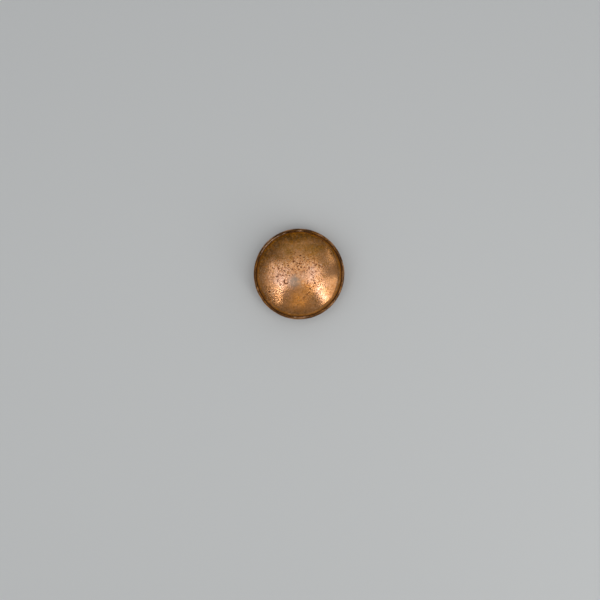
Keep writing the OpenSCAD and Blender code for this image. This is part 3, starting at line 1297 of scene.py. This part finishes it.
def collar_brass():
    """Satin brass, drawn lines round it, polished where the lid rubs, with its grey soldered seam."""
    made = Finish("collar_brass")
    worn, seam = made.mask("worn"), made.mask("solder_seam")
    fine = made.clouds(0.3, 0.35, 0.7, 0.8)
    drawn = noise(vector_sum("MULTIPLY", made.where, (0.02, 0.02, 1)), per(0.08), 3.0)
    rubs = step_up(noise(vector_sum("MULTIPLY", made.where, (1, 1, 0.05)), per(0.25), 4.0), 0.55, 0.7)
    colour = coats(
        (0.82, 0.62, 0.32),
        (made.clouds(3, 0.4, 0.7, 0.6) * 0.6, (0.5, 0.34, 0.14)),
        (fine * 0.25, (0.38, 0.26, 0.12)),
        (rubs * 0.5, (0.9, 0.72, 0.42)),
        (worn * 0.7, (0.92, 0.76, 0.46)),
        (seam * 0.8, (0.5, 0.5, 0.48)),
    )
    rough = fine * 0.12 + 0.3 - most(rubs, worn) * 0.1
    height = drawn * 0.8 + fine * 0.3 + seam * 1.5
    made.fix(Metallic=1)
    return made.done(colour, rough, height, 0.005 * MM)


def soft_solder():
    """Grey tin solder, dull with dark freckles."""
    made = Finish("soft_solder")
    clouds = made.clouds(0.8, 0.4, 0.65, 0.7)
    specks = made.effect(SPECKS, 0.3, Size=0.6, Share=0.4)
    colour = coats(
        (0.55, 0.54, 0.52),
        (clouds, (0.27, 0.26, 0.25)),
        (specks * 0.6, (0.1, 0.08, 0.07)),
    )
    made.fix(Metallic=0.9)
    return made.done(colour, clouds * 0.25 + 0.38, clouds, 0.02 * MM)


def navy_velvet():
    """Short-pile velvet: painted shade deep in the pile, and painted sheen in lighter patches where the pile
    is brushed or pressed.
    """
    made = Finish("navy_velvet")
    nap_sheen = made.clouds(4.5, 0.42, 0.62, 0.5)
    streaks = made.effect(FIBRES, 0.5, Stretch=5.0)
    tufts_and_pile_shade = step_up(noise(made.where, per(0.09), 4.0, Roughness=0.8), 0.3, 0.7)
    colour = coats(
        (0.009, 0.015, 0.075),
        # Painted sheen: lighter patches.
        (nap_sheen * 0.7, (0.026, 0.042, 0.19)),
        (streaks * 0.3, (0.035, 0.055, 0.23)),
        # Painted shade deep in the pile, between the raised fibres.
        (0.55 - tufts_and_pile_shade * 0.55, (0.003, 0.005, 0.03)),
    )
    made.fix(Sheen_Weight=0.6, Sheen_Roughness=0.4, Sheen_Tint=(0.42, 0.52, 0.95, 1))
    return made.done(colour, nap_sheen * 0.15 + 0.8, tufts_and_pile_shade + streaks * 0.5, 0.03 * MM)


def navy_felt():
    """Dense wool felt, matt, with matted hairs and a few pale ones."""
    made = Finish("navy_felt")
    hairs = made.effect(FIBRES, 0.16, Stretch=7.0)
    clouds = made.clouds(1.4, 0.35, 0.7, 0.7)
    colour = coats(
        (0.012, 0.018, 0.07),
        (clouds, (0.022, 0.03, 0.11)),
        (hairs * 0.5, (0.05, 0.065, 0.19)),
    )
    made.fix(Sheen_Weight=0.25, Sheen_Roughness=0.6, Sheen_Tint=(0.6, 0.66, 0.9, 1))
    return made.done(colour, hairs * 0.1 + 0.85, hairs + clouds * 0.6, 0.05 * MM)


def loose_cotton():
    """Undyed cotton wadding with tangled hairs and darker seed flecks."""
    made = Finish("loose_cotton")
    hairs = made.effect(FIBRES, 0.22, Stretch=9.0)
    clouds = made.clouds(2.2, 0.35, 0.7, 0.6)
    colour = coats(
        (0.78, 0.74, 0.64),
        (clouds, (0.86, 0.84, 0.77)),
        (hairs * 0.5, (0.93, 0.92, 0.88)),
        (made.effect(SPECKS, 0.9, Size=0.2, Share=0.15) * 0.6, (0.3, 0.2, 0.1)),
    )
    return made.done(colour, clouds * 0.08 + 0.9, hairs, 0.08 * MM)


def pasteboard():
    """Grey-brown board pressed from waste paper, with fibres and ink flecks."""
    made = Finish("pasteboard")
    hairs = made.effect(FIBRES, 0.3, Stretch=6.0)
    clouds = made.clouds(2.5, 0.35, 0.7, 0.7)
    colour = coats(
        (0.40, 0.33, 0.23),
        (clouds, (0.50, 0.43, 0.31)),
        (hairs * 0.4, (0.6, 0.54, 0.42)),
        (made.effect(SPECKS, 0.7, Size=0.25, Share=0.3) * 0.7, (0.08, 0.08, 0.1)),
    )
    return made.done(colour, clouds * 0.1 + 0.82, hairs, 0.02 * MM)


# ------------------------ the capsule


def cover_with(piece, material):
    """Gives a piece its only material."""
    piece.data.materials.clear()
    piece.data.materials.append(material)


def fit(piece, material, body, slot, *stands_for):
    """Gives a piece its material and its body, and hides the frame's node that it stands for. slot is not
    used.
    """
    cover_with(piece, material)
    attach(piece, body)
    if stands_for:
        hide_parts(*stands_for)
    return piece


def add_metal():
    """The two copper shells, and the brass collar with its solder."""
    # Radii where each shell darkens towards its edge, partly as tarnish and partly as painted shade.
    lid_tarnish_and_shade, dish_tarnish_and_shade = (10.5 * MM, 17 * MM), (6 * MM, 14 * MM)
    lid_metal = aged_copper("lid_copper", (1.2 * MM, -1.2 * MM, 0), lid_tarnish_and_shade, (-2 * MM, 13 * MM), 0)
    dish_metal = aged_copper("dish_copper", (-1 * MM, 0, 0), dish_tarnish_and_shade, (-9 * MM, 10 * MM), 0.37)
    fit(build_lid(), lid_metal, "lid", "lid_copper", "lid_shell")
    fit(build_dish(), dish_metal, "base", "dish_copper", "base_shell")
    fit(build_collar(), collar_brass(), "base", "collar_brass", "base_collar")
    fit(build_solder(), soft_solder(), "base", "collar_brass")


def add_pads(velvet, cotton):
    """The velvet pads of the dish and the lid, with the cotton inside them."""
    board_t = dish_board_high.z - dish_board_low.z
    rise = (dish_pad_high.z - dish_pad_low.z) - board_t - VELVET_T
    dish_cover = build_cover("dish_velvet_pad", dish_pad_high.x + SNUG, dish_pad_low.z, rise, 1, 91)
    lid_cover = build_cover("lid_velvet_pad", lid_pad_high.x, lid_pad_high.z, rise, -1, 95)
    fit(dish_cover, velvet, "base", "velvet", "base_velvet")
    fit(lid_cover, velvet, "lid", "velvet", "lid_velvet")
    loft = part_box("base_wadding")[1].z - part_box("base_wadding")[0].z
    dish_cotton = build_wadding("dish_cotton", dish_board_high.x, dish_board_high.z, 1, loft, 101)
    lid_cotton = build_wadding("lid_cotton", lid_board_high.x, lid_board_low.z, -1, loft, 105)
    fit(dish_cotton, cotton, "base", "wadding", "base_wadding")
    fit(lid_cotton, cotton, "lid", "wadding", "lid_wadding")


def main():
    """Sets the stage and adds every piece, and gives the frame's own wires and boards their materials."""
    set_stage()
    velvet, felt, cotton, board = navy_velvet(), navy_felt(), loose_cotton(), pasteboard()
    add_metal()
    fit(build_felt(), felt, "base", "felt", "coin_ring")
    add_pads(velvet, cotton)
    wire = drawn_wire()
    own = {"lid_edge_wire": wire, "base_edge_wire": wire, "lid_board": board, "base_board": board}
    for name, material in own.items():
        cover_with(nodes[name], material)


main()
